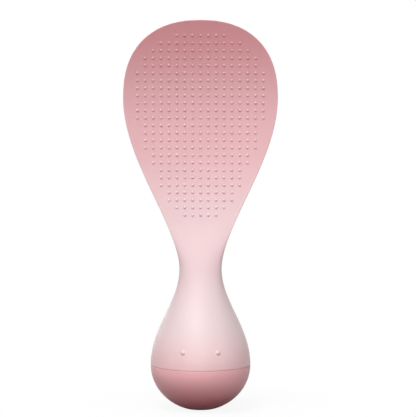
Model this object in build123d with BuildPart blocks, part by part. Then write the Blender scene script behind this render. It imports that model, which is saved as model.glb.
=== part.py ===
"""A self-standing rice paddle: a nubbed, dished blade that grows out of a hollow, weighted bulb.

Millimetres. +Z is up and the blade's nubbed front looks along -Y. The origin is the middle of the
small flat foot under the bulb, so the paddle stands on Z = 0.
"""

import math
import os

from build123d import *

# Outline of the paddle seen from the front
total_height = 200.0
blade_half_width = 39.3
neck_half_width = 10.8
bulb_radius = 25.65
# Heights of the outline as shares of the total height
blade_widest_share = 0.7975
neck_share = 0.3665
seam_share = 0.1135
# Exponents of the outline: of the tip, of the flare above the neck and of the flare below it
tip_height_power = 2.414
tip_width_power = 2.31
shoulder_power = 1.834
shoulder_rise_power = 1.728
bulb_power = 1.986
bulb_rise_power = 2.268

# Blade: a dished plate with a full round rim that turns into an oval neck and a round bulb
plate_thickness = 2.6
dish_radius = 260.0
dish_advance = 1.5
# Heights of the blade as shares of the total height
dish_deepest_share = 0.64
round_below_share = 0.2
flat_above_share = 0.4875
# The front of the dish is trued to an exact ball surface this much below the lofted one
dish_truing_depth = 0.05
dish_truing_margin = 0.6

# Grain-shedding nubs on the front of the blade
nub_pitch_across = 4.0
nub_pitch_along = 3.825
nub_rows = 25
nub_top_margin = 8.05
nub_margin = 5.7
nub_base_radius = 0.65
nub_height = 0.45

# Two rest bumps on the front of the bulb
bump_spacing = 18.0
bump_height_above_seam = 9.1
bump_base_radius = 1.15
bump_height = 0.65

# Hollow of the body
body_wall = 2.6
cavity_neck_margin = 17.3
cavity_top_chamfer = 3.2
seam_edge_chamfer = 0.35

# Base cap, with its foot, spigot, snap bead, gland and boss
foot_cut_depth = 1.0
cap_wall = 2.6
cap_floor = 4.0
spigot_length = 7.0
spigot_wall = 3.0
spigot_clearance = 0.1
spigot_lead_in = 0.5
bead_height_on_spigot = 5.2
bead_radius = 0.5
bead_stand_out = 0.3
bead_clearance = 0.1
gland_height_on_spigot = 1.3
gland_width = 1.9
gland_depth = 1.3
seal_clearance = 0.03
boss_radius = 4.2

# Ballast, the pad that it sits on, and the washer and screw that hold it down
ballast_side_clearance = 0.55
ballast_seam_margin = 1.7
ballast_bore_clearance = 0.3
ballast_chamfer = 0.8
pad_thickness = 1.2
pad_side_clearance = 0.7
pad_bore_clearance = 0.4
boss_top_gap = 0.4
washer_radius = 9.0
washer_thickness = 1.2
washer_hole_clearance = 0.25
washer_edge_radius = 0.3
screw_shank_radius = 1.9
screw_length = 12.0
screw_point_length = 1.5
screw_point_radius = 0.7
screw_head_radius = 3.9
screw_head_height = 2.6
screw_head_edge_radius = 1.0
recess_arm_length = 4.4
recess_arm_width = 0.9
recess_depth = 1.6
pilot_clearance = 0.05
pilot_overrun = 1.5

# One overrun for every cut that has to pass through a face
cut_overrun = 1.0

# Heights that follow from the ones above
seam_height = seam_share * total_height
neck_height = neck_share * total_height
blade_widest_height = blade_widest_share * total_height
dish_deepest_height = dish_deepest_share * total_height
round_below_height = round_below_share * total_height
flat_above_height = flat_above_share * total_height
nub_top_height = total_height - nub_top_margin
bump_centre_height = seam_height + bump_height_above_seam
dome_depth = seam_height + foot_cut_depth
cavity_wall_top = neck_height - cavity_neck_margin
ballast_top_height = seam_height - ballast_seam_margin

# Where the sections of the body stand, as shares of each stretch between two named heights
bulb_section_shares = (0.0, 0.07, 0.16, 0.26, 0.36, 0.46, 0.56, 0.66, 0.76, 0.87)
flare_section_shares = (0.0, 0.05, 0.11, 0.17, 0.23, 0.29, 0.36, 0.44, 0.53, 0.63, 0.74, 0.87)
tip_section_degrees = (0, 13, 25, 36, 46, 55, 63, 70, 76, 81, 85, 87.6)
# Where the points of one section stand, as shares of its half width
section_point_shares = (0.997, 0.985, 0.962, 0.925, 0.86, 0.75, 0.6, 0.42, 0.21)
# Where the wall of the cavity is set out, as shares of the stretch above the spigot
cavity_wall_shares = (0.1, 0.22, 0.36, 0.5, 0.64, 0.78, 0.9, 1.0)


def outline_half_width(z):
    """Half the width of the paddle at height z."""
    if z >= blade_widest_height:
        rise = min((z - blade_widest_height) / (total_height - blade_widest_height), 1)
        return blade_half_width * (1 - rise**tip_height_power) ** (1 / tip_width_power)
    if z >= neck_height:
        rise = (z - neck_height) / (blade_widest_height - neck_height)
        flare = (1 - (1 - rise) ** shoulder_power) ** shoulder_rise_power
        return neck_half_width + (blade_half_width - neck_half_width) * flare
    drop = (neck_height - z) / (neck_height - seam_height)
    flare = (1 - (1 - drop) ** bulb_power) ** bulb_rise_power
    return neck_half_width + (bulb_radius - neck_half_width) * flare


def roundness(z):
    """1 where the section is a bar, 0 where it is the dished plate, and a smooth step between."""
    share = (flat_above_height - z) / (flat_above_height - round_below_height)
    share = min(max(share, 0), 1)
    return share * share * (3 - 2 * share)


def rim_distance(x, z):
    """About how far the point (x, z) lies inside the outline."""
    if z >= blade_widest_height:
        crown_height = total_height - blade_widest_height
        rise = (z - blade_widest_height) / crown_height
        reach = abs(x) / blade_half_width
        inside = 1 - rise**tip_height_power - reach**tip_width_power
        slope_z = tip_height_power * rise ** (tip_height_power - 1) / crown_height
        slope_x = tip_width_power * reach ** (tip_width_power - 1) / blade_half_width
        return max(inside, 0) / max(math.hypot(slope_x, slope_z), 1 / blade_half_width)
    below = max(z - plate_thickness, seam_height)
    flare = (outline_half_width(z) - outline_half_width(below)) / plate_thickness
    return max(outline_half_width(z) - abs(x), 0) / math.hypot(1, flare)


def half_thickness(x, z):
    """Half the thickness of the body at (x, z): a plate with a full round rim, or a thick bar."""
    half_plate = plate_thickness / 2
    reach = min(abs(x) / outline_half_width(z), 1)
    turn = max(1 - rim_distance(x, z) / half_plate, 0)
    plate = half_plate * math.sqrt(1 - turn * turn)
    bar = outline_half_width(min(z, neck_height)) * math.sqrt(1 - reach * reach)
    return plate + (bar - plate) * roundness(z)


def middle_surface(x, z):
    """Y of the surface half way between front and back: part of a ball, then the bulb's axis."""
    across = math.hypot(x, z - dish_deepest_height)
    dished = math.sqrt(dish_radius**2 - across**2) - dish_radius - dish_advance
    return dished * (1 - roundness(z))


def front_surface(x, z):
    """Y of the front face at (x, z)."""
    return middle_surface(x, z) - half_thickness(x, z)


def back_reach(z):
    """How far the back of the body lies behind the axis of the bulb at height z."""
    return middle_surface(0, z) + half_thickness(0, z)


def section_heights():
    """Heights of the body's sections, from the seam to just below the top of the tip."""
    bulb = [seam_height + s * (neck_height - seam_height) for s in bulb_section_shares]
    flare = [neck_height + s * (blade_widest_height - neck_height) for s in flare_section_shares]
    crown = total_height - blade_widest_height
    tip = [blade_widest_height + crown * math.sin(math.radians(d)) for d in tip_section_degrees]
    return bulb + flare + tip


def section_edge(z):
    """Closed outline of the section at height z, from its right end round by the front.

    Every section has its points at the same parameters, so the loft between them stays simple.
    """
    half_width = outline_half_width(z)
    shares = [*section_point_shares, 0, *(-s for s in reversed(section_point_shares))]
    across = [s * half_width for s in shares]
    front = [(x, middle_surface(x, z) - half_thickness(x, z)) for x in across]
    back = [(x, middle_surface(x, z) + half_thickness(x, z)) for x in reversed(across)]
    end = middle_surface(half_width, z)
    points = [(half_width, end), *front, (-half_width, end), *back]
    parameters = [i / len(points) for i in range(len(points) + 1)]
    return Edge.make_spline([Vector(*p) for p in points], periodic=True, parameters=parameters)


def dome_arc(radius, depth, low_turn, high_turn):
    """Arc of a half ellipse that hangs from the seam; its turns are degrees below the seam."""
    return EllipticalCenterArc(
        (0, seam_height), radius, depth, start_angle=-low_turn, arc_size=low_turn - high_turn
    )


def ball_for(base_radius, height):
    """Radius of the ball whose cap has that base radius and height."""
    return (base_radius**2 + height**2) / (2 * height)


def nub_places():
    """Centres (x, z) of the nubs: a grid kept inside the outline, its end rows one nub shorter.

    The rows stop where the dish stops.
    """
    places = []
    for row in range(nub_rows):
        z = nub_top_height - row * nub_pitch_along
        if z - nub_base_radius < dish_ball_bottom:
            break
        reach = 0
        while rim_distance((reach + 1) * nub_pitch_across, z) >= nub_margin:
            reach += 1
        if row in (0, nub_rows - 1):
            reach -= 1
        places += [(column * nub_pitch_across, z) for column in range(-reach, reach + 1)]
    return places


# Sizes that follow from the ones above
dish_ball_y = dish_truing_depth - dish_advance - dish_radius - plate_thickness / 2
dish_ball_bottom = flat_above_height + dish_truing_margin
dish_ball_top = total_height + cut_overrun
seat_radius = bulb_radius - body_wall
spigot_outer_radius = seat_radius - spigot_clearance
spigot_inner_radius = spigot_outer_radius - spigot_wall
spigot_top = seam_height + spigot_length
bead_height = seam_height + bead_height_on_spigot
bead_ring_radius = spigot_outer_radius - bead_radius + bead_stand_out
gland_bottom = seam_height + gland_height_on_spigot
gland_top = gland_bottom + gland_width
gland_radius = spigot_outer_radius - gland_depth
seal_radius = (seat_radius - gland_radius) / 2 - seal_clearance
seal_ring_radius = (seat_radius + gland_radius) / 2
foot_turn = math.degrees(math.asin(seam_height / dome_depth))
dome_inner_radius = bulb_radius - cap_wall
dome_inner_depth = dome_depth - cap_wall
floor_turn = math.degrees(math.asin((seam_height - cap_floor) / dome_inner_depth))
spigot_foot_turn = math.degrees(math.acos(spigot_inner_radius / dome_inner_radius))
spigot_foot_height = seam_height - dome_inner_depth * math.sin(math.radians(spigot_foot_turn))
boss_top = ballast_top_height - boss_top_gap
ballast_bottom = cap_floor + pad_thickness
ballast_bore = boss_radius + ballast_bore_clearance
ballast_radius = spigot_inner_radius - ballast_side_clearance
ballast_dome_radius = dome_inner_radius - ballast_side_clearance
ballast_dome_depth = dome_inner_depth - ballast_side_clearance
ballast_low_turn = math.degrees(math.asin((seam_height - ballast_bottom) / ballast_dome_depth))
ballast_high_turn = math.degrees(math.acos(ballast_radius / ballast_dome_radius))
pad_bore = boss_radius + pad_bore_clearance
pad_outer_radius = dome_inner_radius * math.cos(math.radians(floor_turn)) - pad_side_clearance
screw_seat = ballast_top_height + washer_thickness
screw_tip = screw_seat - screw_length
screw_top = screw_seat + screw_head_height
pilot_radius = screw_shank_radius + pilot_clearance
pilot_bottom = screw_tip - pilot_overrun

os.makedirs("parts", exist_ok=True)

# The piece of a ball that trues the front of the dish
with BuildPart() as dish_ball:
    with Locations((0, dish_ball_y, dish_deepest_height)):
        Sphere(dish_radius)
    with Locations((0, 0, (dish_ball_bottom + dish_ball_top) / 2)):
        Box(
            2 * bulb_radius + 2 * blade_half_width,
            2 * bulb_radius,
            dish_ball_top - dish_ball_bottom,
            mode=Mode.INTERSECT,
        )

# Paddle body: blade, neck and the upper shell of the bulb in one moulding
with BuildPart() as paddle_body:
    for z in section_heights():
        with BuildSketch(Plane.XY.offset(z)):
            with BuildLine():
                add(section_edge(z))
            make_face()
    loft()
    # Chamfer at the seam
    with BuildSketch(Plane.XZ):
        with BuildLine():
            Polyline(
                (bulb_radius - seam_edge_chamfer, seam_height),
                (bulb_radius + cut_overrun, seam_height + seam_edge_chamfer + cut_overrun),
                (bulb_radius + cut_overrun, seam_height - cut_overrun),
                (bulb_radius - seam_edge_chamfer, seam_height - cut_overrun),
                (bulb_radius - seam_edge_chamfer, seam_height),
            )
        make_face()
    revolve(axis=Axis.Z, mode=Mode.SUBTRACT)
    # Cavity, open at the seam, with the straight seat of the spigot below it
    with BuildSketch(Plane.XZ):
        with BuildLine():
            wall_heights = [spigot_top + s * (cavity_wall_top - spigot_top) for s in cavity_wall_shares]
            wall = Spline(
                (seat_radius, spigot_top),
                *((back_reach(z) - body_wall, z) for z in wall_heights),
            )
            crown = wall @ 1
            Polyline(
                crown,
                (crown.X - cavity_top_chamfer, crown.Y + cavity_top_chamfer),
                (0, crown.Y + cavity_top_chamfer),
                (0, seam_height - cut_overrun),
                (seat_radius, seam_height - cut_overrun),
                (seat_radius, spigot_top),
            )
        make_face()
    revolve(axis=Axis.Z, mode=Mode.SUBTRACT)
    # Groove that the snap bead drops into
    with BuildSketch(Plane.XZ):
        with Locations((bead_ring_radius, bead_height)):
            Circle(bead_radius + bead_clearance)
    revolve(axis=Axis.Z, mode=Mode.SUBTRACT)
    # Two rest bumps
    bump_ball = ball_for(bump_base_radius, bump_height)
    bump_reach = outline_half_width(bump_centre_height) - bump_ball + bump_height
    bump_y = -math.sqrt(bump_reach**2 - (bump_spacing / 2) ** 2)
    with Locations((0, bump_y, bump_centre_height)):
        with GridLocations(bump_spacing, 0, 2, 1):
            Sphere(bump_ball)
    # Front of the dish, trued, and the nubs on it
    add(dish_ball.part, mode=Mode.SUBTRACT)
    nub_ball = ball_for(nub_base_radius, nub_height)
    nub_sink = nub_ball - nub_height + dish_truing_depth
    with Locations([(x, front_surface(x, z) + nub_sink, z) for x, z in nub_places()]):
        Sphere(nub_ball)
paddle_body.part.label = "paddle_body"
export_step(paddle_body.part, "parts/paddle_body.step")

# Base cap: the lower dome, with the spigot that snaps into the body and the ballast's boss
with BuildPart() as base_cap:
    with BuildSketch(Plane.XZ):
        with BuildLine():
            outer = dome_arc(bulb_radius, dome_depth, foot_turn, 0)
            Polyline(
                outer @ 1,
                (spigot_outer_radius, seam_height),
                (spigot_outer_radius, gland_bottom),
                (gland_radius, gland_bottom),
                (gland_radius, gland_top),
                (spigot_outer_radius, gland_top),
                (spigot_outer_radius, spigot_top - spigot_lead_in),
                (spigot_outer_radius - spigot_lead_in, spigot_top),
                (spigot_inner_radius, spigot_top),
                (spigot_inner_radius, spigot_foot_height),
            )
            inner = dome_arc(dome_inner_radius, dome_inner_depth, floor_turn, spigot_foot_turn)
            Polyline(
                inner @ 0,
                (boss_radius, cap_floor),
                (boss_radius, boss_top),
                (pilot_radius, boss_top),
                (pilot_radius, pilot_bottom),
                (0, pilot_bottom),
                (0, 0),
                outer @ 0,
            )
        make_face()
    revolve(axis=Axis.Z)
    # Snap bead round the spigot, then the chamfer at the seam
    with BuildSketch(Plane.XZ):
        with Locations((bead_ring_radius, bead_height)):
            Circle(bead_radius)
    revolve(axis=Axis.Z)
    rings = base_cap.edges().filter_by(GeomType.CIRCLE)
    chamfer(rings.sort_by(SortBy.RADIUS)[-1], seam_edge_chamfer)
base_cap.part.label = "base_cap"
export_step(base_cap.part, "parts/base_cap.step")

# Seal ring in the gland of the spigot
with BuildPart() as seal_ring:
    with BuildSketch(Plane.XZ):
        with Locations((seal_ring_radius, (gland_bottom + gland_top) / 2)):
            Circle(seal_radius)
    revolve(axis=Axis.Z)
seal_ring.part.label = "seal_ring"
export_step(seal_ring.part, "parts/seal_ring.step")

# Rubber pad between the cap's floor and the ballast
with BuildPart() as weight_pad:
    with Locations((0, 0, cap_floor)):
        Cylinder(pad_outer_radius, pad_thickness, align=(Align.CENTER, Align.CENTER, Align.MIN))
        Cylinder(
            pad_bore,
            pad_thickness,
            align=(Align.CENTER, Align.CENTER, Align.MIN),
            mode=Mode.SUBTRACT,
        )
weight_pad.part.label = "weight_pad"
export_step(weight_pad.part, "parts/weight_pad.step")

# Ballast, shaped to the inside of the dome
with BuildPart() as ballast_weight:
    with BuildSketch(Plane.XZ):
        with BuildLine():
            flank = dome_arc(
                ballast_dome_radius, ballast_dome_depth, ballast_low_turn, ballast_high_turn
            )
            Polyline(
                flank @ 1,
                (ballast_radius, ballast_top_height - ballast_chamfer),
                (ballast_radius - ballast_chamfer, ballast_top_height),
                (ballast_bore, ballast_top_height),
                (ballast_bore, ballast_bottom),
                flank @ 0,
            )
        make_face()
    revolve(axis=Axis.Z)
ballast_weight.part.label = "ballast_weight"
export_step(ballast_weight.part, "parts/ballast_weight.step")

# Washer that holds the ballast down
with BuildPart() as ballast_washer:
    with Locations((0, 0, ballast_top_height)):
        Cylinder(washer_radius, washer_thickness, align=(Align.CENTER, Align.CENTER, Align.MIN))
        Cylinder(
            screw_shank_radius + washer_hole_clearance,
            washer_thickness,
            align=(Align.CENTER, Align.CENTER, Align.MIN),
            mode=Mode.SUBTRACT,
        )
    fillet(
        ballast_washer.edges().filter_by(GeomType.CIRCLE).sort_by(SortBy.RADIUS)[-2:],
        washer_edge_radius,
    )
ballast_washer.part.label = "ballast_washer"
export_step(ballast_washer.part, "parts/ballast_washer.step")

# Pan-head screw with a cross recess
with BuildPart() as ballast_screw:
    with BuildSketch(Plane.XZ):
        with BuildLine():
            Polyline(
                (0, screw_tip),
                (screw_point_radius, screw_tip),
                (screw_shank_radius, screw_tip + screw_point_length),
                (screw_shank_radius, screw_seat),
                (screw_head_radius, screw_seat),
                (screw_head_radius, screw_top),
                (0, screw_top),
                (0, screw_tip),
            )
        make_face()
    revolve(axis=Axis.Z)
    fillet(ballast_screw.faces().sort_by(Axis.Z)[-1].edges(), screw_head_edge_radius)
    with Locations((0, 0, screw_top)):
        Box(
            recess_arm_length,
            recess_arm_width,
            2 * recess_depth,
            mode=Mode.SUBTRACT,
        )
        Box(
            recess_arm_width,
            recess_arm_length,
            2 * recess_depth,
            mode=Mode.SUBTRACT,
        )
ballast_screw.part.label = "ballast_screw"
export_step(ballast_screw.part, "parts/ballast_screw.step")
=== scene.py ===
"""A self-standing rice paddle: surfaces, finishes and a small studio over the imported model."""

import bpy
import numpy as np
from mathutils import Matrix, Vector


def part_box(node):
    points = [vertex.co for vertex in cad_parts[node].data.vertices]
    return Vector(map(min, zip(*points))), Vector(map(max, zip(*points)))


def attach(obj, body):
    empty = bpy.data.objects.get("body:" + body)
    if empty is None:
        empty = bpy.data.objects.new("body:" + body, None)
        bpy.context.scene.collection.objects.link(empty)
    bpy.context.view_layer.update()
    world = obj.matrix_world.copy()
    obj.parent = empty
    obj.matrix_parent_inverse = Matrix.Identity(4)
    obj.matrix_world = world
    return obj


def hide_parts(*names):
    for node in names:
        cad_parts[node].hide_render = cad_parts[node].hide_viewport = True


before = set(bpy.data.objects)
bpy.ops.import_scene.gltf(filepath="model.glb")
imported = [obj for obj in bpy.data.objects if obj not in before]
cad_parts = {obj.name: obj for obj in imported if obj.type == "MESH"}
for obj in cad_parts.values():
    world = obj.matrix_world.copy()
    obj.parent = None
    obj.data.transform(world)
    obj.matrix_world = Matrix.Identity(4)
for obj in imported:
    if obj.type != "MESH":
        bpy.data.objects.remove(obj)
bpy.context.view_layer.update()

bl_info = {
    "name": "Self-standing rice paddle",
    "version": (1, 0, 0),
    "blender": (4, 5, 0),
    "location": "3D View > Sidebar > Paddle",
    "description": "Builds the surfaces and finishes of a rice paddle that stands on its bulb",
    "category": "Add Mesh",
}

MM = 0.001

# Powers of the outline's curves: over the widest height, and the two powers of each flare
CROWN_RISE_POWER = 2.414
CROWN_REACH_POWER = 2.31
SHOULDER_POWERS = (1.834, 1.728)
BULB_POWERS = (1.986, 2.268)

# Step over which the outline's slant is taken, and the least width that anything is divided by
SLANT_STEP = 0.2 * MM
LEAST_WIDTH = 1e-9

# Hollow of the bulb: heights of its wall, rise of its roof and top of the spigot's seat
HOLLOW_TOP = 55 * MM
HOLLOW_FOOT = 31 * MM
HOLLOW_ROOF_RISE = 3.2 * MM
SEAT_TOP = 29.7 * MM

# Cap: wall, spigot, gland and snap bead with heights over the seam, then floor, boss and pilot hole
CAP_WALL = 2.6 * MM
SPIGOT_PLAY = 0.1 * MM
SPIGOT_WALL = 3 * MM
SPIGOT_TOP = 7 * MM
SPIGOT_CHAMFER = 0.5 * MM
GLAND_DEPTH = 1.3 * MM
GLAND_BOTTOM = 1.3 * MM
GLAND_TOP = 3.2 * MM
BEAD_RADIUS = 0.5 * MM
BEAD_SET_IN = 0.2 * MM
BEAD_HEIGHT = 5.2 * MM
CAP_FLOOR = 4 * MM
BOSS_RADIUS = 4.2 * MM
BOSS_TOP = 20.6 * MM
PILOT_RADIUS = 1.95 * MM
PILOT_BOTTOM = 8.7 * MM

# Grids: faces round each turned piece, and rings along each stretch of its profile
BODY_COLUMNS = 200
CAP_COLUMNS = 180
WALL_RINGS = 30
EDGE_RINGS = 6
BULB_ROWS = 84
SHOULDER_ROWS = 90
CROWN_ROWS = 72
DOME_RINGS = 70
BEAD_RINGS = 9
CAP_INSIDE_RINGS = 16

# Nubs and bumps: rings in shares of the base radius, and faces round each
NUB_RINGS = (0.3, 0.58, 0.8, 0.95, 1.28)
NUB_SEGMENTS = 9
NUB_COLUMNS_EACH_SIDE = 12
BUMP_RINGS = (0.12, 0.25, 0.38, 0.5, 0.62, 0.72, 0.8, 0.86, 0.91, 0.97, 1.04, 1.13, 1.28)
BUMP_SEGMENTS = 28

# Skirt of a nub or bump: start and breadth in shares of the base radius, sink and root in shares
# of the height
SKIRT_START = 0.86
SKIRT_BREADTH = 0.42
SKIRT_SINK = 0.03
ROOT_DEPTH = 0.3

# Heights where the body has its bulb, neck and blade colours: the bulb and neck are paler as
# painted sheen, and the blade grows darker towards the tip as painted shade
BULB_PAINTED_SHEEN_HEIGHT = 45 * MM
NECK_PAINTED_SHEEN_HEIGHT = 90 * MM
BLADE_PAINTED_SHADE_HEIGHT = 140 * MM

# Moulded plastic: grain on both pieces, roughness and coat of each
PLASTIC_GRAIN_SCALE = 2200.0
PLASTIC_GRAIN_DEPTH = 0.012 * MM
BODY_ROUGHNESS, BODY_COAT = 0.46, 1.0
CAP_ROUGHNESS, CAP_COAT = 0.5, 0.4
COAT_ROUGHNESS = 0.5

# Pieces inside the bulb: name of the finish, tint at the foot, tint at the top, roughness,
# grain scale, grain depth and metallic
INSIDE_FINISHES = {
    "seal_ring": (
        "Seal rubber", (0.30, 0.035, 0.02), (0.26, 0.03, 0.018), 0.62, 900.0, 0.01 * MM, 0.0,
    ),
    "weight_pad": (
        "Pad rubber", (0.012, 0.012, 0.012), (0.02, 0.02, 0.02), 0.70, 700.0, 0.03 * MM, 0.0,
    ),
    "ballast_weight": (
        "Cast iron", (0.05, 0.05, 0.052), (0.04, 0.038, 0.037), 0.60, 600.0, 0.12 * MM, 0.85,
    ),
    "ballast_washer": (
        "Washer steel", (0.50, 0.50, 0.52), (0.46, 0.46, 0.48), 0.30, 1500.0, 0.01 * MM, 1.0,
    ),
    "ballast_screw": (
        "Screw steel", (0.46, 0.46, 0.48), (0.42, 0.42, 0.44), 0.28, 1500.0, 0.01 * MM, 1.0,
    ),
}
INSIDE_MOTTLE_DEPTH = 0.25
INSIDE_MOTTLE_SCALE = 250.0

# Studio: floor disc, reach of the shadow that the camera sees, and where the lights look, in metres
FLOOR_RADIUS = 6
FLOOR_CORNERS = 96
SHADOW_FULL_TO = 20 * MM
SHADOW_GONE_FROM = 110 * MM
GLOW_IN_SHADOW = 0.90
LIGHTS_LOOK_AT = (0, 0, 0.1)


# Properties


class PaddleSizes(bpy.types.PropertyGroup):
    """Sizes of the paddle, in metres."""

    total_height: bpy.props.FloatProperty(
        name="Total height", description="From the foot to the tip",
        default=200 * MM, unit="LENGTH",
    )
    blade_half_width: bpy.props.FloatProperty(
        name="Blade half width", description="Half width where the blade is widest",
        default=39.3 * MM, unit="LENGTH",
    )
    blade_widest_height: bpy.props.FloatProperty(
        name="Blade's widest height", description="Height where the blade is widest",
        default=159.5 * MM, unit="LENGTH",
    )
    neck_half_width: bpy.props.FloatProperty(
        name="Neck half width", description="Half width where the neck is narrowest",
        default=10.8 * MM, unit="LENGTH",
    )
    neck_height: bpy.props.FloatProperty(
        name="Neck height", description="Height where the neck is narrowest",
        default=73.3 * MM, unit="LENGTH",
    )
    bulb_radius: bpy.props.FloatProperty(
        name="Bulb radius", description="Radius of the bulb at the seam",
        default=25.65 * MM, unit="LENGTH",
    )
    seam_height: bpy.props.FloatProperty(
        name="Seam height", description="Height of the seam between body and cap",
        default=22.7 * MM, unit="LENGTH",
    )
    plate_thickness: bpy.props.FloatProperty(
        name="Blade thickness", description="Thickness of the blade's plate",
        default=2.6 * MM, unit="LENGTH",
    )
    dish_radius: bpy.props.FloatProperty(
        name="Dish radius", description="Radius of the ball that the blade is part of",
        default=260 * MM, unit="LENGTH",
    )
    dish_deepest_height: bpy.props.FloatProperty(
        name="Dish's deepest height", description="Height where the blade is hollowed deepest",
        default=128 * MM, unit="LENGTH",
    )
    dish_advance: bpy.props.FloatProperty(
        name="Dish advance", description="How far the whole dish stands forward",
        default=1.5 * MM, unit="LENGTH",
    )
    round_below_height: bpy.props.FloatProperty(
        name="Round below", description="Below this height the sections are round",
        default=40 * MM, unit="LENGTH",
    )
    flat_above_height: bpy.props.FloatProperty(
        name="Flat above", description="Above this height the blade is a plate",
        default=97.5 * MM, unit="LENGTH",
    )
    body_wall: bpy.props.FloatProperty(
        name="Body wall", description="Wall thickness of the bulb",
        default=2.6 * MM, unit="LENGTH",
    )
    dome_depth: bpy.props.FloatProperty(
        name="Dome depth", description="Half height of the ellipse that the cap is part of",
        default=23.7 * MM, unit="LENGTH",
    )
    seam_edge_radius: bpy.props.FloatProperty(
        name="Seam edge radius", description="Rounding of both edges at the seam",
        default=0.15 * MM, unit="LENGTH",
    )
    seam_rebate_depth: bpy.props.FloatProperty(
        name="Seam rebate depth", description="How far the shadow line goes in",
        default=1.0 * MM, unit="LENGTH",
    )
    seam_rebate_height: bpy.props.FloatProperty(
        name="Seam rebate height", description="Share of the shadow line on each side of the seam",
        default=0.1 * MM, unit="LENGTH",
    )
    rim_front_radius: bpy.props.FloatProperty(
        name="Rim front radius", description="Rounding of the edge round the blade's front",
        default=0.3 * MM, unit="LENGTH",
    )
    nub_pitch_across: bpy.props.FloatProperty(
        name="Nub pitch across", description="From nub to nub along X",
        default=4 * MM, unit="LENGTH",
    )
    nub_pitch_along: bpy.props.FloatProperty(
        name="Nub pitch along", description="From row to row along Z",
        default=3.825 * MM, unit="LENGTH",
    )
    nub_rows: bpy.props.IntProperty(
        name="Nub rows", description="Number of rows from tip to neck", default=25,
    )
    nub_top_height: bpy.props.FloatProperty(
        name="Top row", description="Height of the row next to the tip",
        default=191.95 * MM, unit="LENGTH",
    )
    nub_margin: bpy.props.FloatProperty(
        name="Nub margin", description="Least distance from a nub's middle to the rim",
        default=5.7 * MM, unit="LENGTH",
    )
    nub_base_radius: bpy.props.FloatProperty(
        name="Nub base radius", description="Radius of a nub at its base",
        default=0.65 * MM, unit="LENGTH",
    )
    nub_height: bpy.props.FloatProperty(
        name="Nub height", description="How far a nub stands out",
        default=0.45 * MM, unit="LENGTH",
    )
    bump_spacing: bpy.props.FloatProperty(
        name="Bump spacing", description="Between the middles of the two rest bumps",
        default=18 * MM, unit="LENGTH",
    )
    bump_centre_height: bpy.props.FloatProperty(
        name="Bump height above foot", description="Height of the middles of the rest bumps",
        default=31.8 * MM, unit="LENGTH",
    )
    bump_base_radius: bpy.props.FloatProperty(
        name="Bump base radius", description="Radius of a rest bump at its base",
        default=1.15 * MM, unit="LENGTH",
    )
    bump_height: bpy.props.FloatProperty(
        name="Bump height", description="How far a rest bump stands out",
        default=0.65 * MM, unit="LENGTH",
    )


class PaddleColours(bpy.types.PropertyGroup):
    """Colours of the finishes and the floor, linear. The body's and cap's colours by height paint
    sheen and shade: a paler bulb and neck, a darker blade tip and cap foot.
    """

    # Painted shade: the tip is darker where the blade leans forward and faces down
    tip: bpy.props.FloatVectorProperty(
        name="Tip", description="Dusky pink at the top of the blade",
        default=(0.60, 0.237, 0.257), subtype="COLOR", size=3,
    )
    # Painted shade, lighter than at the tip: the upper blade is darker than the neck
    blade: bpy.props.FloatVectorProperty(
        name="Blade", description="Pink low on the blade",
        default=(0.745, 0.415, 0.438), subtype="COLOR", size=3,
    )
    # Painted sheen: the neck is paler where the front light falls on it
    neck: bpy.props.FloatVectorProperty(
        name="Neck", description="Light pink over the neck",
        default=(0.735, 0.515, 0.535), subtype="COLOR", size=3,
    )
    # Painted sheen: the bulb is palest where the front light falls on it
    bulb: bpy.props.FloatVectorProperty(
        name="Bulb", description="Palest pink on the bulb",
        default=(0.71, 0.55, 0.56), subtype="COLOR", size=3,
    )
    seam: bpy.props.FloatVectorProperty(
        name="Seam", description="Pink just over the seam",
        default=(0.78, 0.50, 0.512), subtype="COLOR", size=3,
    )
    cap: bpy.props.FloatVectorProperty(
        name="Cap", description="Rose pink just under the seam",
        default=(0.87, 0.45, 0.475), subtype="COLOR", size=3,
    )
    # Painted shade: the foot is deep rose where the cap faces down
    foot: bpy.props.FloatVectorProperty(
        name="Foot", description="Deep rose at the cap's foot",
        default=(0.45, 0.10, 0.12), subtype="COLOR", size=3,
    )
    backdrop: bpy.props.FloatVectorProperty(
        name="Floor", description="Pale floor that carries the shadow",
        default=(0.80, 0.80, 0.80), subtype="COLOR", size=3,
    )
    bounce: bpy.props.FloatVectorProperty(
        name="Floor bounce", description="What the floor throws back on the paddle",
        default=(0.10, 0.09, 0.09), subtype="COLOR", size=3,
    )


class PaddleStudio(bpy.types.PropertyGroup):
    """Camera and lights."""

    distance: bpy.props.FloatProperty(
        name="Camera distance", description="From the camera to the point it looks at",
        default=1511.4 * MM, unit="LENGTH",
    )
    elevation: bpy.props.FloatProperty(
        name="Camera elevation", description="Angle of the camera above the horizon",
        default=np.radians(5.3), subtype="ANGLE",
    )
    look_height: bpy.props.FloatProperty(
        name="Look height", description="Height of the point looked at",
        default=99.25 * MM, unit="LENGTH",
    )
    slide_right: bpy.props.FloatProperty(
        name="Slide right", description="Moves the camera and its target to the right",
        default=3.84 * MM, unit="LENGTH",
    )
    slide_up: bpy.props.FloatProperty(
        name="Slide up", description="Moves the camera and its target up in the picture",
        default=3.91 * MM, unit="LENGTH",
    )
    lens: bpy.props.FloatProperty(
        name="Lens", description="Focal length in millimetres", default=254.7,
    )
    key_power: bpy.props.FloatProperty(name="Key light", description="Watts", default=13.8)
    strip_power: bpy.props.FloatProperty(name="Strip light", description="Watts", default=19.8)
    fill_power: bpy.props.FloatProperty(name="Fill light", description="Watts", default=4.4)
    side_power: bpy.props.FloatProperty(name="Side light", description="Watts", default=2.6)
    back_power: bpy.props.FloatProperty(name="Back light", description="Watts", default=14.0)
    room_light: bpy.props.FloatProperty(name="Room light", description="Strength", default=0.24)


# Shape of the paddle as formulas over whole arrays


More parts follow.
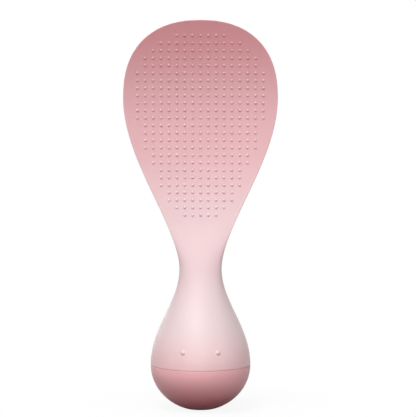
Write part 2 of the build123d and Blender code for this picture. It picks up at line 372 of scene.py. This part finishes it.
def outline_half_width(s, z):
    """Half width at each height: a superellipse over the blade's widest height, and power flares
    from there down to the neck and from the neck down to the bulb. A flare is one minus the first
    power of what is left of the way, raised to the second power."""
    crown = s.total_height - s.blade_widest_height
    tip_rise = np.clip((z - s.blade_widest_height) / crown, 0, 1)
    tip = s.blade_half_width * (1 - tip_rise**CROWN_RISE_POWER) ** (1 / CROWN_REACH_POWER)
    rise = np.clip((z - s.neck_height) / (s.blade_widest_height - s.neck_height), 0, 1)
    shoulder = s.neck_half_width + (s.blade_half_width - s.neck_half_width) * (
        1 - (1 - rise) ** SHOULDER_POWERS[0]
    ) ** SHOULDER_POWERS[1]
    drop = np.clip((s.neck_height - z) / (s.neck_height - s.seam_height), 0, 1)
    bulb = s.neck_half_width + (s.bulb_radius - s.neck_half_width) * (
        1 - (1 - drop) ** BULB_POWERS[0]
    ) ** BULB_POWERS[1]
    return np.where(z >= s.blade_widest_height, tip, np.where(z >= s.neck_height, shoulder, bulb))


def roundness(s, z):
    """Smooth step that is 1 where sections are the bar's ovals and 0 where they are the plate."""
    share = (s.flat_above_height - z) / (s.flat_above_height - s.round_below_height)
    share = np.clip(share, 0, 1)
    return share * share * (3 - 2 * share)


def rim_distance(s, x, z):
    """Distance inside the outline: the gap across divided by the slant of the outline, and over the
    widest height what is left of the superellipse divided by the length of its gradient."""
    crown = s.total_height - s.blade_widest_height
    rise = np.clip((z - s.blade_widest_height) / crown, 0, 1)
    reach = np.abs(x) / s.blade_half_width
    inside = np.maximum(1 - rise**CROWN_RISE_POWER - reach**CROWN_REACH_POWER, 0)
    steep = np.hypot(
        CROWN_RISE_POWER * rise ** (CROWN_RISE_POWER - 1) / crown,
        CROWN_REACH_POWER * reach ** (CROWN_REACH_POWER - 1) / s.blade_half_width,
    )
    over = inside / np.maximum(steep, 1 / s.blade_half_width)
    width = outline_half_width(s, z)
    slant = (width - outline_half_width(s, z - SLANT_STEP)) / SLANT_STEP
    under = np.maximum(width - np.abs(x), 0) / np.hypot(1, slant)
    return np.where(z >= s.blade_widest_height, over, under)


def half_thickness(s, x, z, rim_radius):
    """Half thickness: a plate whose rim is rounded by rim_radius, mixed by roundness with a bar of
    oval sections."""
    half_plate = s.plate_thickness / 2
    width = np.maximum(outline_half_width(s, z), LEAST_WIDTH)
    reach = np.clip(np.abs(x) / width, 0, 1)
    turn = np.clip(1 - rim_distance(s, x, z) / rim_radius, 0, 1)
    plate = half_plate - rim_radius * (1 - np.sqrt(1 - turn * turn))
    bar = outline_half_width(s, np.minimum(z, s.neck_height)) * np.sqrt(1 - reach * reach)
    return plate + (bar - plate) * roundness(s, z)


def middle_surface(s, x, z):
    """Y half way between front and back: part of a ball over the blade, and zero under it."""
    across = np.hypot(x, z - s.dish_deepest_height)
    dished = np.sqrt(s.dish_radius**2 - across**2) - s.dish_radius - s.dish_advance
    return dished * (1 - roundness(s, z))


def front_surface(s, x, z):
    """Y of the front face: half the thickness in front of the middle surface."""
    return middle_surface(s, x, z) - half_thickness(s, x, z, s.rim_front_radius)


def back_surface(s, x, z):
    """Y of the back face: half the thickness behind the middle surface, with a rim that is rounded
    by half the plate."""
    return middle_surface(s, x, z) + half_thickness(s, x, z, s.plate_thickness / 2)


def nub_centres(s):
    """(x, z) of every nub: a grid about the middle, cut where the rim is nearer than the margin.
    Each row is even about the middle, and the first and last rows are one shorter on each side."""
    row = np.arange(s.nub_rows)
    column = np.arange(-NUB_COLUMNS_EACH_SIDE, NUB_COLUMNS_EACH_SIDE + 1)
    z = s.nub_top_height - row[:, None] * s.nub_pitch_along
    x, z = np.broadcast_arrays(column[None, :] * s.nub_pitch_across, z)
    width = outline_half_width(s, z)
    kept = (np.abs(x) < width) & (rim_distance(s, x, z) >= s.nub_margin)
    reach = (kept.sum(axis=1) - 1) // 2
    reach[[0, -1]] -= 1
    kept &= np.abs(column)[None, :] <= reach[:, None]
    return np.stack((x[kept], z[kept]), axis=-1)


def body_inside(s):
    """(radius, height) of the rings from the hollow's roof down to the seam and out to its edge:
    the back face less the wall, the straight seat, the rebate and a quarter round."""
    seat = s.bulb_radius - s.body_wall
    wall = np.linspace(HOLLOW_TOP, HOLLOW_FOOT, WALL_RINGS)
    wall_radius = back_surface(s, 0, wall) - s.body_wall
    rebate_radius = s.bulb_radius - s.seam_rebate_depth
    rebate_height = s.seam_height + s.seam_rebate_height
    edge_turn = np.linspace(0, np.pi / 2, EDGE_RINGS)
    radius = np.concatenate((
        [wall_radius[0] - HOLLOW_ROOF_RISE],
        wall_radius,
        [seat, seat],
        [rebate_radius, rebate_radius],
        s.bulb_radius - s.seam_edge_radius * (1 - np.sin(edge_turn)),
    ))
    height = np.concatenate((
        [wall[0] + HOLLOW_ROOF_RISE],
        wall,
        [SEAT_TOP, s.seam_height],
        [s.seam_height, rebate_height],
        rebate_height + s.seam_edge_radius * (1 - np.cos(edge_turn)),
    ))
    return radius, height


def body_row_heights(s):
    """Heights of the outer rows: even from the seam's edge to the neck and to the widest height,
    then closer together towards the tip, by a power of the sine."""
    low = s.seam_height + s.seam_rebate_height + 2 * s.seam_edge_radius
    crown = s.total_height - s.blade_widest_height
    rise = np.linspace(0, np.pi / 2, CROWN_ROWS)[:-1]
    return np.concatenate((
        np.linspace(low, s.neck_height, BULB_ROWS),
        np.linspace(s.neck_height, s.blade_widest_height, SHOULDER_ROWS)[1:],
        (s.blade_widest_height + crown * np.sin(rise) ** (2 / CROWN_RISE_POWER))[1:],
    ))


def cap_outside(s):
    """(radius, height) of the cap from the foot to the seam: an ellipse, a quarter round and the
    rebate."""
    foot_turn = np.arcsin(s.seam_height / s.dome_depth)
    seam_turn = np.arcsin((s.seam_rebate_height + s.seam_edge_radius) / s.dome_depth)
    turn = np.linspace(foot_turn, seam_turn, DOME_RINGS)
    edge_turn = np.linspace(0, np.pi / 2, EDGE_RINGS)[1:]
    rebate_radius = s.bulb_radius - s.seam_rebate_depth
    rebate_height = s.seam_height - s.seam_rebate_height
    radius = np.concatenate((
        s.bulb_radius * np.cos(turn),
        s.bulb_radius - s.seam_edge_radius * (1 - np.cos(edge_turn)),
        [rebate_radius, rebate_radius],
    ))
    height = np.concatenate((
        s.seam_height - s.dome_depth * np.sin(turn),
        rebate_height - s.seam_edge_radius * (1 - np.sin(edge_turn)),
        [rebate_height, s.seam_height],
    ))
    return radius, height


def cap_inside(s):
    """(radius, height) of the cap from the seam up the spigot, with its gland, half round bead and
    chamfer, then down an ellipse to the floor, and up the boss and down its pilot hole."""
    spigot = s.bulb_radius - s.body_wall - SPIGOT_PLAY
    inner = spigot - SPIGOT_WALL
    gland = spigot - GLAND_DEPTH
    bead_turn = np.linspace(-np.pi / 2, np.pi / 2, BEAD_RINGS)
    bead_turn = bead_turn[np.cos(bead_turn) * BEAD_RADIUS > BEAD_SET_IN]
    dome_radius = s.bulb_radius - CAP_WALL
    dome_depth = s.dome_depth - CAP_WALL
    top_turn = np.arccos(inner / dome_radius)
    floor_turn = np.arcsin((s.seam_height - CAP_FLOOR) / dome_depth)
    turn = np.linspace(top_turn, floor_turn, CAP_INSIDE_RINGS)
    radius = np.concatenate((
        [spigot, spigot, gland, gland, spigot],
        spigot - BEAD_SET_IN + BEAD_RADIUS * np.cos(bead_turn),
        [spigot, spigot - SPIGOT_CHAMFER, inner],
        dome_radius * np.cos(turn),
        [BOSS_RADIUS, BOSS_RADIUS, PILOT_RADIUS, PILOT_RADIUS],
    ))
    over_seam = np.concatenate((
        [0, GLAND_BOTTOM, GLAND_BOTTOM, GLAND_TOP, GLAND_TOP],
        BEAD_HEIGHT + BEAD_RADIUS * np.sin(bead_turn),
        [SPIGOT_TOP - SPIGOT_CHAMFER, SPIGOT_TOP, SPIGOT_TOP],
    ))
    height = np.concatenate((
        s.seam_height + over_seam,
        s.seam_height - dome_depth * np.sin(turn),
        [CAP_FLOOR, BOSS_TOP, BOSS_TOP, PILOT_BOTTOM],
    ))
    return radius, height


# Meshes from grids


def turned_rings(radius, height, turn):
    """Grid of a profile turned about the upright axis: radius times the cosine and minus the sine
    of the turn, at each height."""
    return np.stack((
        radius[:, None] * np.cos(turn),
        -radius[:, None] * np.sin(turn),
        np.broadcast_to(height[:, None], (len(radius), len(turn))),
    ), axis=-1)


def grid_faces(rows, columns):
    """Quads of a grid whose columns close on themselves."""
    row = np.arange(rows - 1)[:, None] * columns
    column = np.arange(columns)[None, :]
    after = (column + 1) % columns
    corners = (row + column, row + after, row + columns + after, row + columns + column)
    return np.stack(corners, axis=-1).reshape(-1, 4)


def pole_faces(flipped, columns, pole, start):
    """Triangles from the ring that begins at vertex start to a pole, flipped for the first ring."""
    column = np.arange(columns)
    after = (column + 1) % columns
    ring = np.stack((start + column, start + after), axis=-1)
    faces = np.concatenate((ring, np.full((columns, 1), pole)), axis=1)
    return faces[:, ::-1] if flipped else faces


def signed_volume(vertices, triangles):
    """Volume inside the faces, negative where they point inwards."""
    a, b, c = (vertices[triangles[:, i]] for i in range(3))
    return np.einsum("ij,ij->i", a, np.cross(b, c)).sum() / 6


def closed_faces(vertices, rows, columns, first_pole, last_pole):
    """Quads of a grid and triangles to its two poles, all of them facing outwards."""
    quads = grid_faces(rows, columns)
    first = pole_faces(True, columns, first_pole, 0)
    last = pole_faces(False, columns, last_pole, (rows - 1) * columns)
    triangles = np.concatenate((quads[:, [0, 1, 2]], quads[:, [0, 2, 3]], first, last))
    blocks = (quads, first, last)
    if signed_volume(vertices, triangles) < 0:
        blocks = tuple(block[:, ::-1] for block in blocks)
    return blocks


def closed_surface(name, grid, first_pole, last_pole):
    """Mesh object from a grid of rings, closed by a pole at each end."""
    rows, columns = grid.shape[:2]
    count = rows * columns
    vertices = np.concatenate((grid.reshape(-1, 3), [first_pole], [last_pole]))
    return mesh_object(name, vertices, closed_faces(vertices, rows, columns, count, count + 1))


def mesh_object(name, vertices, face_blocks):
    """Mesh object from vertices and blocks of faces, smooth shaded."""
    mesh = bpy.data.meshes.new(name)
    loops = np.concatenate([block.ravel() for block in face_blocks])
    sizes = np.concatenate([np.full(len(block), block.shape[1]) for block in face_blocks])
    starts = np.concatenate(([0], np.cumsum(sizes)[:-1]))
    mesh.vertices.add(len(vertices))
    mesh.vertices.foreach_set("co", vertices.astype(np.float32).ravel())
    mesh.loops.add(len(loops))
    mesh.loops.foreach_set("vertex_index", loops.astype(np.int32))
    mesh.polygons.add(len(sizes))
    mesh.polygons.foreach_set("loop_start", starts.astype(np.int32))
    mesh.polygons.foreach_set("use_smooth", np.ones(len(sizes), dtype=bool))
    mesh.update(calc_edges=True)
    mesh.validate()
    piece = bpy.data.objects.new(name, mesh)
    bpy.context.collection.objects.link(piece)
    return piece


def dome_patches(name, centres, base_radius, height, surface, rings, segments):
    """Closed domes on a surface: a ball's cap over its base radius, then a short hollow skirt that
    runs out under the surface, and a point below it that closes the dome."""
    ball = (base_radius**2 + height**2) / (2 * height)
    reach = base_radius * np.asarray(rings)
    skirt_start = SKIRT_START * base_radius
    cap = np.sqrt(np.maximum(ball**2 - reach**2, 0)) - (ball - height)
    skirt_share = np.clip((reach / base_radius - SKIRT_START) / SKIRT_BREADTH, 0, 1)
    edge = np.sqrt(ball**2 - skirt_start**2) - (ball - height)
    skirt = edge * (1 - skirt_share) ** 2 - SKIRT_SINK * height * skirt_share
    lift = np.where(reach > skirt_start, skirt, cap)
    turn = np.linspace(0, 2 * np.pi, segments, endpoint=False)
    middle_x, middle_z = centres[:, 0], centres[:, 1]
    x = middle_x[:, None, None] + reach[None, :, None] * np.cos(turn)
    z = middle_z[:, None, None] + reach[None, :, None] * np.sin(turn)
    y = surface(x, z) - np.broadcast_to(lift[None, :, None], x.shape)
    count = len(centres)
    grid = np.stack((x, y, z), axis=-1).reshape(count, -1, 3)
    middle_y = surface(middle_x, middle_z)
    top = np.stack((middle_x, middle_y - height, middle_z), axis=-1)[:, None]
    root = np.stack((middle_x, middle_y + ROOT_DEPTH * height, middle_z), axis=-1)[:, None]
    domes = np.concatenate((grid, top, root), axis=1)
    per_dome = domes.shape[1]
    one = closed_faces(domes[0] - root[0], len(reach), segments, per_dome - 2, per_dome - 1)
    shift = (np.arange(count) * per_dome)[:, None, None]
    blocks = [(block[None] + shift).reshape(-1, block.shape[1]) for block in one]
    return mesh_object(name, domes.reshape(-1, 3), blocks)


# Finishes


def new_group(name, inputs, outputs):
    """Empty shader node group with named sockets."""
    group = bpy.data.node_groups.new(name, "ShaderNodeTree")
    for socket, kind, value in inputs:
        made = group.interface.new_socket(socket, in_out="INPUT", socket_type=kind)
        if value is not None:
            made.default_value = value
    for socket, kind in outputs:
        group.interface.new_socket(socket, in_out="OUTPUT", socket_type=kind)
    return group, group.nodes.new("NodeGroupInput"), group.nodes.new("NodeGroupOutput")


def math_node(tree, operation):
    """Math node of one operation."""
    node = tree.nodes.new("ShaderNodeMath")
    node.operation = operation
    return node


def larger_value(tree, first, second):
    """Socket with the larger value of two sockets."""
    node = math_node(tree, "MAXIMUM")
    tree.links.new(first, node.inputs[0])
    tree.links.new(second, node.inputs[1])
    return node.outputs["Value"]


def mixed_shaders(tree, share, first, second):
    """Mix of two shader nodes, the second of them by the share that a socket gives."""
    mix = tree.nodes.new("ShaderNodeMixShader")
    tree.links.new(share, mix.inputs["Fac"])
    tree.links.new(first.outputs[0], mix.inputs[1])
    tree.links.new(second.outputs[0], mix.inputs[2])
    return mix


def moulded_skin_group():
    """Moulded plastic and rubber: a broad mottle that deepens the colour, over a fine grain."""
    name = "Moulded skin"
    if name in bpy.data.node_groups:
        return bpy.data.node_groups[name]
    group, given, out = new_group(
        name,
        (
            ("Place", "NodeSocketVector", None),
            ("Colour", "NodeSocketColor", None),
            ("Mottle", "NodeSocketFloat", 0.06),
            ("Mottle scale", "NodeSocketFloat", 60.0),
            ("Grain scale", "NodeSocketFloat", 1800.0),
            ("Roughness", "NodeSocketFloat", 0.4),
            ("Roughness spread", "NodeSocketFloat", 0.06),
        ),
        (
            ("Colour", "NodeSocketColor"),
            ("Roughness", "NodeSocketFloat"),
            ("Height", "NodeSocketFloat"),
        ),
    )
    nodes, links = group.nodes, group.links
    mottle = nodes.new("ShaderNodeTexNoise")
    mottle.inputs["Detail"].default_value = 4.0
    grain = nodes.new("ShaderNodeTexNoise")
    grain.inputs["Detail"].default_value = 3.0
    depth = math_node(group, "MULTIPLY")
    light = math_node(group, "SUBTRACT")
    light.inputs[0].default_value = 1.0
    tone = nodes.new("ShaderNodeHueSaturation")
    rough = math_node(group, "MULTIPLY_ADD")
    links.new(given.outputs["Place"], mottle.inputs["Vector"])
    links.new(given.outputs["Mottle scale"], mottle.inputs["Scale"])
    links.new(given.outputs["Place"], grain.inputs["Vector"])
    links.new(given.outputs["Grain scale"], grain.inputs["Scale"])
    links.new(mottle.outputs["Fac"], depth.inputs[0])
    links.new(given.outputs["Mottle"], depth.inputs[1])
    links.new(depth.outputs["Value"], light.inputs[1])
    links.new(light.outputs["Value"], tone.inputs["Value"])
    links.new(given.outputs["Colour"], tone.inputs["Color"])
    links.new(grain.outputs["Fac"], rough.inputs[0])
    links.new(given.outputs["Roughness spread"], rough.inputs[1])
    links.new(given.outputs["Roughness"], rough.inputs[2])
    links.new(tone.outputs["Color"], out.inputs["Colour"])
    links.new(rough.outputs["Value"], out.inputs["Roughness"])
    links.new(grain.outputs["Fac"], out.inputs["Height"])
    return group


def height_tint_and_painted_light_group():
    """Share of the way up between two heights, for a colour that changes with height: painted sheen
    and shade on the body and cap, a plain tone on the pieces inside.
    """
    name = "Height tint"
    if name in bpy.data.node_groups:
        return bpy.data.node_groups[name]
    group, given, out = new_group(
        name,
        (
            ("Place", "NodeSocketVector", None),
            ("Bottom", "NodeSocketFloat", 0.0),
            ("Top", "NodeSocketFloat", 0.2),
        ),
        (("Share", "NodeSocketFloat"),),
    )
    parts = group.nodes.new("ShaderNodeSeparateXYZ")
    share = group.nodes.new("ShaderNodeMapRange")
    group.links.new(given.outputs["Place"], parts.inputs["Vector"])
    group.links.new(parts.outputs["Z"], share.inputs["Value"])
    group.links.new(given.outputs["Bottom"], share.inputs["From Min"])
    group.links.new(given.outputs["Top"], share.inputs["From Max"])
    group.links.new(share.outputs["Result"], out.inputs["Share"])
    return group


def moulded_finish(
    name, tints_and_painted_light, roughness, grain_scale, grain_depth,
    mottle_depth=0.06, mottle_scale=60.0, metallic=0.0, coat=0.0,
):
    """Material round the moulded skin group; its colour stops are (height, colour) from the lowest
    up: painted sheen and shade by height on the body and cap, plain tones on the pieces inside.
    """
    material = bpy.data.materials.new(name)
    material.use_nodes = True
    nodes, links = material.node_tree.nodes, material.node_tree.links
    shader = nodes["Principled BSDF"]
    place = nodes.new("ShaderNodeTexCoord")
    rise = nodes.new("ShaderNodeGroup")
    rise.node_tree = height_tint_and_painted_light_group()
    low, high = tints_and_painted_light[0][0], tints_and_painted_light[-1][0]
    rise.inputs["Bottom"].default_value = low
    rise.inputs["Top"].default_value = high
    ramp = nodes.new("ShaderNodeValToRGB")
    ramp.color_ramp.interpolation = "EASE"
    stops = ramp.color_ramp.elements
    for height, _ in tints_and_painted_light[1:-1]:
        stops.new((height - low) / (high - low))
    for stop, (_, colour) in zip(stops, tints_and_painted_light):
        stop.color = (*colour, 1)
    skin = nodes.new("ShaderNodeGroup")
    skin.node_tree = moulded_skin_group()
    skin.inputs["Mottle"].default_value = mottle_depth
    skin.inputs["Mottle scale"].default_value = mottle_scale
    skin.inputs["Grain scale"].default_value = grain_scale
    skin.inputs["Roughness"].default_value = roughness
    relief = nodes.new("ShaderNodeBump")
    relief.inputs["Strength"].default_value = 1.0
    relief.inputs["Distance"].default_value = grain_depth
    links.new(place.outputs["Object"], rise.inputs["Place"])
    links.new(rise.outputs["Share"], ramp.inputs["Fac"])
    links.new(ramp.outputs["Color"], skin.inputs["Colour"])
    links.new(place.outputs["Object"], skin.inputs["Place"])
    links.new(skin.outputs["Colour"], shader.inputs["Base Color"])
    links.new(skin.outputs["Roughness"], shader.inputs["Roughness"])
    links.new(skin.outputs["Height"], relief.inputs["Height"])
    links.new(relief.outputs["Normal"], shader.inputs["Normal"])
    shader.inputs["Metallic"].default_value = metallic
    shader.inputs["Coat Weight"].default_value = coat
    shader.inputs["Coat Roughness"].default_value = COAT_ROUGHNESS
    return material


def dress(piece, material):
    """Gives a piece or a CAD node one material."""
    piece.data.materials.clear()
    piece.data.materials.append(material)


# Operators


class PADDLE_OT_body(bpy.types.Operator):
    """Blade, neck and upper bulb as one closed surface over heights and turns"""

    bl_idname = "paddle.body"
    bl_label = "Paddle body"

    def execute(self, context):
        s = context.scene.paddle_sizes
        colours = context.scene.paddle_colours
        turn = np.linspace(0, 2 * np.pi, BODY_COLUMNS, endpoint=False)
        radius, height = body_inside(s)
        inside = turned_rings(radius, height, turn)
        row_heights = body_row_heights(s)
        z = np.broadcast_to(row_heights[:, None], (len(row_heights), BODY_COLUMNS))
        x = outline_half_width(s, z) * np.cos(turn)
        y = np.where(np.sin(turn) >= 0, front_surface(s, x, z), back_surface(s, x, z))
        outside = np.stack((x, y, z), axis=-1)
        tip_y = middle_surface(s, np.zeros(1), np.array([s.total_height]))[0]
        piece = closed_surface(
            "paddle_body_surface",
            np.concatenate((inside, outside)),
            (0, 0, float(height[0])),
            (0, float(tip_y), s.total_height),
        )
        # Colour by height: the pale bulb and neck are painted sheen, and the darker blade and tip
        # are painted shade, over the plastic's pink
        tints_and_painted_light = (
            (s.seam_height, colours.seam),
            (BULB_PAINTED_SHEEN_HEIGHT, colours.bulb),
            (NECK_PAINTED_SHEEN_HEIGHT, colours.neck),
            (BLADE_PAINTED_SHADE_HEIGHT, colours.blade),
            (s.total_height, colours.tip),
        )
        dress(piece, moulded_finish(
            "Body plastic", tints_and_painted_light, BODY_ROUGHNESS, PLASTIC_GRAIN_SCALE, PLASTIC_GRAIN_DEPTH,
            coat=BODY_COAT,
        ))
        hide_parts("paddle_body")
        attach(piece, "root")
        return {"FINISHED"}


class PADDLE_OT_nubs(bpy.types.Operator):
    """Grain-shedding nubs on the blade and the two rest bumps on the bulb"""

    bl_idname = "paddle.nubs"
    bl_label = "Nubs and rest bumps"

    def execute(self, context):
        s = context.scene.paddle_sizes
        plastic = bpy.data.materials["Body plastic"]

        def front(x, z):
            """Y of the front face of this paddle."""
            return front_surface(s, x, z)

        piece = dome_patches(
            "grain_nubs", nub_centres(s), s.nub_base_radius, s.nub_height, front,
            NUB_RINGS, NUB_SEGMENTS,
        )
        dress(piece, plastic)
        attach(piece, "root")
        half = s.bump_spacing / 2
        centres = np.array(((-half, s.bump_centre_height), (half, s.bump_centre_height)))
        piece = dome_patches(
            "rest_bumps", centres, s.bump_base_radius, s.bump_height, front,
            BUMP_RINGS, BUMP_SEGMENTS,
        )
        dress(piece, plastic)
        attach(piece, "root")
        return {"FINISHED"}


class PADDLE_OT_cap(bpy.types.Operator):
    """Base cap as one profile turned about the upright axis"""

    bl_idname = "paddle.cap"
    bl_label = "Base cap"

    def execute(self, context):
        s = context.scene.paddle_sizes
        colours = context.scene.paddle_colours
        turn = np.linspace(0, 2 * np.pi, CAP_COLUMNS, endpoint=False)
        radius, height = (
            np.concatenate(halves) for halves in zip(cap_outside(s), cap_inside(s))
        )
        rings = turned_rings(radius, height, turn)
        piece = closed_surface("base_cap_surface", rings, (0, 0, 0), (0, 0, PILOT_BOTTOM))
        # Colour by height: the deep rose foot is painted shade where the cap faces down
        tints_and_painted_light = ((0, colours.foot), (s.seam_height, colours.cap))
        dress(piece, moulded_finish(
            "Cap plastic", tints_and_painted_light, CAP_ROUGHNESS, PLASTIC_GRAIN_SCALE, PLASTIC_GRAIN_DEPTH,
            coat=CAP_COAT,
        ))
        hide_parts("base_cap")
        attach(piece, "root")
        return {"FINISHED"}


class PADDLE_OT_insides(bpy.types.Operator):
    """Finishes of the sealed pieces inside the bulb"""

    bl_idname = "paddle.insides"
    bl_label = "Pieces inside the bulb"

    def execute(self, context):
        for node, finish in INSIDE_FINISHES.items():
            name, low_tint, high_tint, roughness, grain_scale, grain_depth, metallic = finish
            low, high = (float(corner[2]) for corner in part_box(node))
            dress(bpy.data.objects[node], moulded_finish(
                name, ((low, low_tint), (high, high_tint)), roughness, grain_scale, grain_depth,
                INSIDE_MOTTLE_DEPTH, INSIDE_MOTTLE_SCALE, metallic,
            ))
        return {"FINISHED"}


class PADDLE_OT_stage(bpy.types.Operator):
    """Floor, lights, white surroundings and the camera"""

    bl_idname = "paddle.stage"
    bl_label = "Studio"

    def execute(self, context):
        studio = context.scene.paddle_studio
        context.scene.view_settings.view_transform = "Standard"
        self.lay_floor(context.scene.paddle_colours)
        self.light_room(context.scene, studio)
        self.set_camera(context.scene, studio)
        self.hang_light("Key light", studio.key_power, (0.7, 0.7), (-0.30, -0.55, 1.40))
        self.hang_light("Strip light", studio.strip_power, (2.0, 1.2), (-0.20, -1.80, 0.60))
        self.hang_light("Fill light", studio.fill_power, (0.9, 0.9), (1.25, -0.85, 0.60))
        self.hang_light("Side light", studio.side_power, (0.9, 0.9), (-1.40, -0.50, 0.60))
        self.hang_light("Back light", studio.back_power, (1.6, 1.2), (-0.30, 1.60, 0.80))
        return {"FINISHED"}

    def lay_floor(self, colours):
        """Flat disc under the paddle: white to the camera but for the shadow, matt to gloss and
        glass, and dim to bounces."""
        turn = np.linspace(0, 2 * np.pi, FLOOR_CORNERS, endpoint=False)
        ring = np.stack((np.cos(turn), np.sin(turn), np.zeros(FLOOR_CORNERS)), axis=-1)
        vertices = np.concatenate((FLOOR_RADIUS * ring, [(0, 0, 0)]))
        faces = pole_faces(False, FLOOR_CORNERS, FLOOR_CORNERS, 0)
        floor = mesh_object("floor", vertices, (faces,))
        material = bpy.data.materials.new("Pale floor")
        material.use_nodes = True
        tree = material.node_tree
        nodes, links = tree.nodes, tree.links
        nodes.clear()
        rays = nodes.new("ShaderNodeLightPath").outputs
        white = nodes.new("ShaderNodeEmission")
        white.inputs["Strength"].default_value = 1.0
        matt = nodes.new("ShaderNodeBsdfDiffuse")
        matt.inputs["Color"].default_value = (*colours.backdrop, 1)
        bounce = nodes.new("ShaderNodeBsdfDiffuse")
        bounce.inputs["Color"].default_value = (*colours.bounce, 1)
        # The matt share carries the shadow and fades out round the paddle
        place = nodes.new("ShaderNodeTexCoord")
        away = nodes.new("ShaderNodeVectorMath")
        away.operation = "LENGTH"
        fade = nodes.new("ShaderNodeMapRange")
        fade.interpolation_type = "SMOOTHSTEP"
        fade.inputs["From Min"].default_value = SHADOW_FULL_TO
        fade.inputs["From Max"].default_value = SHADOW_GONE_FROM
        fade.inputs["To Min"].default_value = GLOW_IN_SHADOW
        fade.inputs["To Max"].default_value = 1.0
        links.new(place.outputs["Object"], away.inputs[0])
        links.new(away.outputs["Value"], fade.inputs["Value"])
        seen = mixed_shaders(tree, fade.outputs["Result"], matt, white)
        mirrored = larger_value(tree, rays["Is Glossy Ray"], rays["Is Transmission Ray"])
        unseen = mixed_shaders(tree, mirrored, bounce, matt)
        either = mixed_shaders(tree, rays["Is Camera Ray"], unseen, seen)
        out = nodes.new("ShaderNodeOutputMaterial")
        links.new(either.outputs[0], out.inputs["Surface"])
        dress(floor, material)

    def light_room(self, scene, studio):
        """World that is white to the camera, to gloss and to glass, and dim to every other ray."""
        world = bpy.data.worlds.new("Studio room")
        scene.world = world
        world.use_nodes = True
        tree = world.node_tree
        tree.nodes.clear()
        rays = tree.nodes.new("ShaderNodeLightPath").outputs
        dim = tree.nodes.new("ShaderNodeBackground")
        dim.inputs["Color"].default_value = (1, 1, 1, 1)
        dim.inputs["Strength"].default_value = studio.room_light
        white = tree.nodes.new("ShaderNodeBackground")
        white.inputs["Color"].default_value = (1, 1, 1, 1)
        white.inputs["Strength"].default_value = 1.0
        mirrored = larger_value(tree, rays["Is Glossy Ray"], rays["Is Transmission Ray"])
        shown = larger_value(tree, rays["Is Camera Ray"], mirrored)
        either = mixed_shaders(tree, shown, dim, white)
        out = tree.nodes.new("ShaderNodeOutputWorld")
        tree.links.new(either.outputs[0], out.inputs["Surface"])

    def set_camera(self, scene, studio):
        """Camera in front of the paddle, lifted by its elevation and slid with its target."""
        lift = studio.elevation
        up = np.array((0, np.sin(lift), np.cos(lift)))
        aim = np.array((studio.slide_right, 0, studio.look_height)) + studio.slide_up * up
        eye = aim + studio.distance * np.array((0, -np.cos(lift), np.sin(lift)))
        data = bpy.data.cameras.new("Studio camera")
        data.lens = studio.lens
        data.sensor_width = 36.0
        data.sensor_fit = "AUTO"
        data.clip_end = 50.0
        camera = bpy.data.objects.new("Studio camera", data)
        camera.location = eye
        camera.rotation_euler = (np.pi / 2 - lift, 0, 0)
        bpy.context.collection.objects.link(camera)
        scene.camera = camera

    def hang_light(self, name, power, size, place):
        """Area light of a width and a height that looks at the middle of the paddle."""
        data = bpy.data.lights.new(name, "AREA")
        data.shape = "RECTANGLE"
        data.energy = power
        data.size, data.size_y = size
        light = bpy.data.objects.new(name, data)
        light.location = place
        towards = np.array(LIGHTS_LOOK_AT) - np.array(place)
        flat = np.hypot(towards[0], towards[1])
        pitch = np.pi / 2 + np.arctan2(towards[2], flat)
        light.rotation_euler = (pitch, 0, np.arctan2(-towards[0], towards[1]))
        bpy.context.collection.objects.link(light)


class PADDLE_PT_sidebar(bpy.types.Panel):
    """Buttons for each group of pieces"""

    bl_label = "Rice paddle"
    bl_idname = "PADDLE_PT_sidebar"
    bl_space_type = "VIEW_3D"
    bl_region_type = "UI"
    bl_category = "Paddle"

    def draw(self, context):
        for operator in OPERATORS:
            self.layout.operator(operator.bl_idname)


OPERATORS = (PADDLE_OT_body, PADDLE_OT_nubs, PADDLE_OT_cap, PADDLE_OT_insides, PADDLE_OT_stage)
CLASSES = (PaddleSizes, PaddleColours, PaddleStudio, *OPERATORS, PADDLE_PT_sidebar)


def register():
    """Registers the classes and hangs the three property groups on the scene."""
    for cls in CLASSES:
        bpy.utils.register_class(cls)
    bpy.types.Scene.paddle_sizes = bpy.props.PointerProperty(type=PaddleSizes)
    bpy.types.Scene.paddle_colours = bpy.props.PointerProperty(type=PaddleColours)
    bpy.types.Scene.paddle_studio = bpy.props.PointerProperty(type=PaddleStudio)


def unregister():
    """Takes the property groups and classes away again."""
    del bpy.types.Scene.paddle_studio
    del bpy.types.Scene.paddle_colours
    del bpy.types.Scene.paddle_sizes
    for cls in reversed(CLASSES):
        bpy.utils.unregister_class(cls)


def main():
    """Builds every piece and the studio."""
    register()
    bpy.ops.paddle.body()
    bpy.ops.paddle.nubs()
    bpy.ops.paddle.cap()
    bpy.ops.paddle.insides()
    bpy.ops.paddle.stage()


if __name__ == "__main__":
    main()
